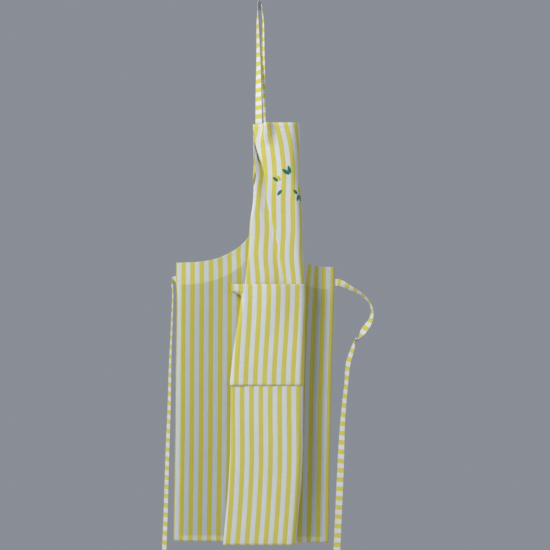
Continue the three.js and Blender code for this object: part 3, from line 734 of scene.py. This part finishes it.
def leaf(k, u, v, degrees, length, yellow):
    """A raised satin-stitch leaf: each stitch runs across it and dips at the vein."""
    a = math.radians(degrees)
    rows, cols = 3 * int(length), 9
    s = np.linspace(-0.5, 0.5, rows)[:, None]
    w = np.linspace(-1, 1, cols)[None, :]
    half = (0.05 + np.sin(np.pi * (s + 0.5)) ** 0.8) * 0.21 * length
    x, y = s * length + 0 * w, half * w
    vein = 1 - 0.55 * np.exp(-(w / 0.16) ** 2)
    rise = CLOTH_SEEN / 2 + 0.75 * (1 - w ** 2) ** 0.5 * vein * (half / half.max()) ** 0.5
    rise = rise + 0.07 * np.cos(np.arange(rows) * np.pi)[:, None] * (1 - w ** 2)
    uu = u + x * math.cos(a) - y * math.sin(a)
    vv = v + x * math.sin(a) + y * math.cos(a)
    front = cloth.place(uu, vv, rise).reshape(-1, 3)
    back = cloth.place(uu, vv, CLOTH_SEEN / 2 - 0.05).reshape(-1, 3)
    n = rows * cols
    faces = grid_faces(rows, cols)
    grid = np.arange(n).reshape(rows, cols)
    edge = np.concatenate([grid[0], grid[1:, -1], grid[-1, -2::-1], grid[-2:0:-1, 0]])
    closed = list(faces) + [[q + n for q in f[::-1]] for f in faces]
    for p, q in zip(edge, np.roll(edge, -1)):
        closed.append([int(q), int(p), int(p) + n, int(q) + n])
    uv = np.stack([x, y], -1).reshape(-1, 2)
    obj = make(f"stitched_leaf_{k}", np.vstack([front, back]), closed, np.vstack([uv, uv]))
    face_out(obj.data)
    return finish_piece(obj, "apron", f"leaf_{k}")


leaf_objects = [leaf(k + 1, *data) for k, data in enumerate(LEAVES)]


# ---- materials ----
class Nodes:
    """Short way to write a material's nodes."""

    def __init__(self, name):
        self.material = bpy.data.materials.new(name)
        self.material.use_nodes = True
        self.tree = self.material.node_tree
        self.shader = self.tree.nodes["Principled BSDF"]

    def node(self, kind, inputs=None, **values):
        made = self.tree.nodes.new(kind)
        for key, value in values.items():
            setattr(made, key, value)
        for key, value in (inputs or {}).items():
            self.put(made.inputs[key], value)
        return made

    def put(self, socket, value):
        if isinstance(value, bpy.types.NodeSocket):
            self.tree.links.new(value, socket)
        else:
            socket.default_value = value

    def math(self, operation, a, b=0.0, c=0.0, clamp=False):
        made = self.node("ShaderNodeMath", {0: a, 1: b, 2: c}, operation=operation)
        made.use_clamp = clamp
        return made.outputs[0]

    def mix(self, factor, a, b, blend="MIX"):
        made = self.node("ShaderNodeMix", data_type="RGBA", blend_type=blend)
        self.put(made.inputs[0], factor)
        self.put(made.inputs[6], a)
        self.put(made.inputs[7], b)
        return made.outputs[2]

    def noise(self, vector, scale, detail=2.0, rough=0.5):
        made = self.node("ShaderNodeTexNoise", {"Vector": vector, "Scale": scale, "Detail": detail,
                                                "Roughness": rough})
        return made.outputs["Fac"]

    def scaled(self, vector, x, y, z=1.0):
        return self.node("ShaderNodeVectorMath", {0: vector, 1: (x, y, z)}, operation="MULTIPLY").outputs[0]

    def set(self, **values):
        for key, value in values.items():
            self.put(self.shader.inputs[key.replace("_", " ")], value)


def rgb(r, g, b):
    def linear(c):
        c /= 255
        return c / 12.92 if c <= 0.04045 else ((c + 0.055) / 1.055) ** 2.4
    return (linear(r), linear(g), linear(b), 1.0)


THREADS = 0.00062  # from one pair of threads to the next, metres


def cotton(name, white, yellow, tape=False):
    """Striped plain weave: stripes, slubs, thread bumps, a painted darker, cooler shade on a single layer."""
    m = Nodes(name)
    uv = m.node("ShaderNodeUVMap", uv_map="cloth").outputs[0]
    xyz = m.node("ShaderNodeSeparateXYZ", {0: uv})
    x, y = xyz.outputs[0], xyz.outputs[1]
    wobble = m.math("MULTIPLY", m.math("SUBTRACT", m.noise(m.scaled(uv, 900, 30), 1.0), 0.5), 0.0006)
    run = y if tape else x
    start = 0.0 if tape else 0.0018
    along_stripes = m.math("SUBTRACT", m.math("ADD", run, wobble), start - 2.0)
    phase = m.math("FRACT", m.math("DIVIDE", along_stripes, STRIPE * MM))
    edge = 0.018
    rise = m.math("DIVIDE", phase, edge, clamp=True)
    fall = m.math("DIVIDE", m.math("SUBTRACT", 0.5 + edge, phase), edge, clamp=True)
    stripe = m.math("MULTIPLY", rise, fall)
    # Threads: warp and weft, uneven in thickness.
    warp, weft = (m.math("SINE", m.math("MULTIPLY", way, 2 * math.pi / THREADS)) for way in (x, y))
    weave = m.math("MULTIPLY", warp, weft)
    slub_up = m.noise(m.scaled(uv, 1500, 26), 1.0, 3.0, 0.6)
    slub_across = m.noise(m.scaled(uv, 26, 1500), 1.0, 3.0, 0.6)
    slub = m.math("ADD", slub_up, slub_across)
    cloudy = m.noise(m.scaled(uv, 14, 9), 1.0, 3.0, 0.55)
    colour = m.mix(stripe, white, yellow)
    shade = m.math("ADD", m.math("MULTIPLY", slub, 0.16), 0.84)
    shade = m.math("MULTIPLY", shade, m.math("ADD", m.math("MULTIPLY", cloudy, 0.1), 0.95))
    shade = m.math("MULTIPLY", shade, m.math("ADD", m.math("MULTIPLY", weave, 0.03), 1.0))
    grey = m.node("ShaderNodeCombineColor", {0: shade, 1: shade, 2: shade}).outputs[0]
    colour = m.mix(1.0, colour, grey, "MULTIPLY")
    # Painted shade: where the ply attribute is below 1, the colour is darkened and cooled as if the grey behind
    # showed through.
    ply = m.node("ShaderNodeAttribute", attribute_name="ply").outputs["Fac"]
    painted_shade = m.mix(1.0, colour, m.mix(stripe, SHOW_THROUGH_SHADE_WHITE, SHOW_THROUGH_SHADE_YELLOW), "MULTIPLY")
    colour = m.mix(ply, painted_shade, colour)
    bump_height = m.math("ADD", m.math("MULTIPLY", weave, 0.5), m.math("MULTIPLY", slub, 1.2))
    crumple = m.noise(m.scaled(uv, 60, 38), 1.0, 4.0, 0.55)
    fine = m.node("ShaderNodeBump", {"Strength": 0.5, "Distance": 0.0001, "Height": bump_height}).outputs[0]
    normal = m.node("ShaderNodeBump", {"Strength": 0.35, "Distance": 0.0022, "Height": crumple, "Normal": fine})
    rough = m.math("ADD", m.math("MULTIPLY", slub, 0.06), 0.8)
    m.set(Base_Color=colour, Roughness=rough, Normal=normal.outputs[0], Sheen_Weight=0.15, Sheen_Roughness=0.5,
          Specular_IOR_Level=0.25)
    return m.material


# Painted shade: a single layer's colour is multiplied by these darker, cooler tints, standing in for the grey
# behind showing through it.
SHOW_THROUGH_SHADE_WHITE, SHOW_THROUGH_SHADE_YELLOW = (0.66, 0.70, 0.74, 1.0), (0.75, 0.745, 0.5, 1.0)
WHITE, YELLOW = rgb(238, 240, 238), rgb(231, 221, 108)
striped = cotton("striped_cotton", WHITE, YELLOW)
tape_cotton = cotton("striped_tape", WHITE, YELLOW, tape=True)


def thread(name, colour, darker):
    m = Nodes(name)
    uv = m.node("ShaderNodeTexCoord").outputs["Object"]
    fibres = m.noise(uv, 2600.0, 3.0, 0.6)
    tone = m.mix(m.noise(uv, 420.0, 2.0), darker, colour)
    m.set(Base_Color=tone, Roughness=m.math("ADD", m.math("MULTIPLY", fibres, 0.2), 0.35), Sheen_Weight=0.2,
          Normal=m.node("ShaderNodeBump", {"Strength": 0.4, "Distance": 0.0001, "Height": fibres}).outputs[0])
    return m.material


green_thread = thread("green_thread", rgb(38, 150, 118), rgb(18, 96, 78))
yellow_thread = thread("yellow_thread", rgb(240, 228, 20), rgb(215, 200, 15))
seam_thread = thread("seam_thread", rgb(232, 226, 196), rgb(204, 196, 150))


def steel():
    m = Nodes("peg_steel")
    place = m.node("ShaderNodeTexCoord").outputs["Object"]
    turned = m.noise(m.scaled(place, 300, 9000, 300), 1.0, 2.0)
    worn = m.noise(place, 260.0, 4.0)
    m.set(Base_Color=m.mix(worn, rgb(168, 170, 174), rgb(206, 208, 210)), Metallic=1.0,
          Roughness=m.math("ADD", m.math("MULTIPLY", turned, 0.25), 0.2),
          Normal=m.node("ShaderNodeBump", {"Strength": 0.3, "Distance": 0.0001, "Height": turned}).outputs[0])
    return m.material


def nylon():
    m = Nodes("plug_nylon")
    place = m.node("ShaderNodeTexCoord").outputs["Object"]
    grain = m.noise(place, 1800.0, 3.0)
    m.set(Base_Color=m.mix(m.noise(place, 180.0), rgb(142, 144, 146), rgb(164, 166, 168)),
          Roughness=m.math("ADD", m.math("MULTIPLY", grain, 0.2), 0.45),
          Normal=m.node("ShaderNodeBump", {"Strength": 0.25, "Distance": 0.0001, "Height": grain}).outputs[0])
    return m.material


def dress(obj, material):
    obj.data.materials.clear()
    obj.data.materials.append(material)


def dress_cad(name, material):
    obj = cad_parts[name]
    for slot in obj.material_slots:
        slot.link = "OBJECT"
        slot.material = material


for obj in [panel, pocket, pocket_hem, *facings]:
    dress(obj, striped)
for obj in (neck_strap, left_tie, right_tie):
    dress(obj, tape_cotton)
for obj in (apron_stitches, pocket_stitches):
    dress(obj, seam_thread)
for obj, data in zip(leaf_objects, LEAVES):
    dress(obj, yellow_thread if data[4] else green_thread)
for prefix in ("", "side_"):
    dress_cad(prefix + "hook_peg", steel())
    dress_cad(prefix + "hook_wall_plug", nylon())


# ---- floor and light ----
def plain(name, colour, roughness=0.9):
    m = Nodes(name)
    m.set(Base_Color=colour, Roughness=roughness)
    return m.material


FLOOR_HALF, FLOOR_FRONT, FLOOR_BACK, FLOOR_Z = 3, -3, 1.0, -1.5
floor_mesh = bpy.data.meshes.new("floor")
floor_mesh.from_pydata([
    (-FLOOR_HALF, FLOOR_FRONT, FLOOR_Z), (FLOOR_HALF, FLOOR_FRONT, FLOOR_Z),
    (FLOOR_HALF, FLOOR_BACK, FLOOR_Z), (-FLOOR_HALF, FLOOR_BACK, FLOOR_Z),
], [], [(0, 1, 2, 3)])
floor = bpy.data.objects.new("floor", floor_mesh)
bpy.context.scene.collection.objects.link(floor)
dress(floor, plain("pale_floor", rgb(214, 212, 208)))

world = bpy.data.worlds.new("studio")
world.use_nodes = True
sky = world.node_tree.nodes["Background"]
sky.inputs["Color"].default_value = (0.28, 0.30, 0.34, 1)
sky.inputs["Strength"].default_value = 0.9
bpy.context.scene.world = world
bpy.context.scene.view_settings.view_transform = "Standard"


def lamp(name, place, target, size, power, colour=(1, 1, 1)):
    data = bpy.data.lights.new(name, "AREA")
    data.shape = "SQUARE"
    data.size = size
    data.energy = power
    data.color = colour
    obj = bpy.data.objects.new(name, data)
    obj.location = place
    way = np.array(target, float) - np.array(place, float)
    obj.rotation_euler = Vector(way).to_track_quat("-Z", "Y").to_euler()
    bpy.context.scene.collection.objects.link(obj)


lamp("key", (-1.5, -1.5, 0.75), (0, 0, -0.35), 1.1, 37)
lamp("fill", (1.2, -2.8, -0.2), (0, 0, -0.6), 2.0, 9, (0.96, 0.98, 1.0))
lamp("back", (0.6, 2.2, 0.6), (0, 0, -0.6), 1.6, 22)
